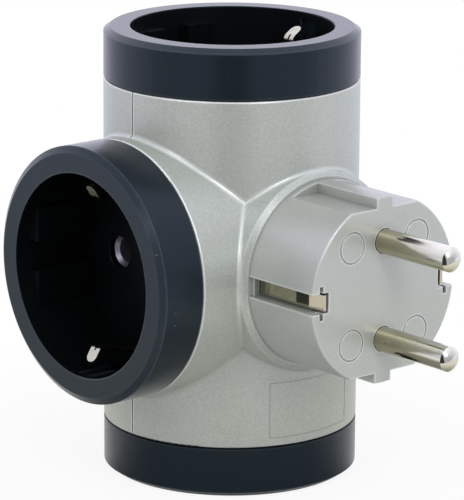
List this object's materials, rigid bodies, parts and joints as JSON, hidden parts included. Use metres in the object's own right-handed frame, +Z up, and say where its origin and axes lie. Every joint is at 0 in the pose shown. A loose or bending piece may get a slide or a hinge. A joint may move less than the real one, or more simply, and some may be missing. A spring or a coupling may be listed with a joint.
{
  "type": "multi socket adapter",
  "caption": "T-shaped mains adapter: an earthed plug with round pins on a silver body, and round earthed sockets in dark collars at each end and on a side branch.",
  "frame": {"origin": "centre of the lower socket's rim, on the surface it stands on", "axes": "+Z up along the upright, +X along the plug pins, -Y out of the side socket"},
  "size_m": [0.0881, 0.063, 0.088],
  "materials": {
    "silver_plastic": "metallic silver pigment, fine moulded texture",
    "anthracite_plastic": "satin moulded",
    "nickel_plated_brass": "bright nickel plate",
    "brass": "stamped sheet",
    "zinc_plated_steel": "zinc plated"
  },
  "bodies": {
    "root": {"case_screws": "zinc_plated_steel", "earth_clip_bottom": "nickel_plated_brass", "earth_clip_side": "nickel_plated_brass", "earth_clip_top": "nickel_plated_brass", "earth_strap": "brass", "front_shell": "silver_plastic", "live_busbar": "brass", "live_pin": "nickel_plated_brass", "live_sleeve_bottom": "nickel_plated_brass", "live_sleeve_side": "nickel_plated_brass", "live_sleeve_top": "nickel_plated_brass", "neutral_busbar": "brass", "neutral_pin": "nickel_plated_brass", "neutral_sleeve_bottom": "nickel_plated_brass", "neutral_sleeve_side": "nickel_plated_brass", "neutral_sleeve_top": "nickel_plated_brass", "plug_earth_strip": "nickel_plated_brass", "rear_shell": "silver_plastic", "socket_insert_bottom": "anthracite_plastic", "socket_insert_side": "anthracite_plastic", "socket_insert_top": "anthracite_plastic"}
  },
  "joints": []
}
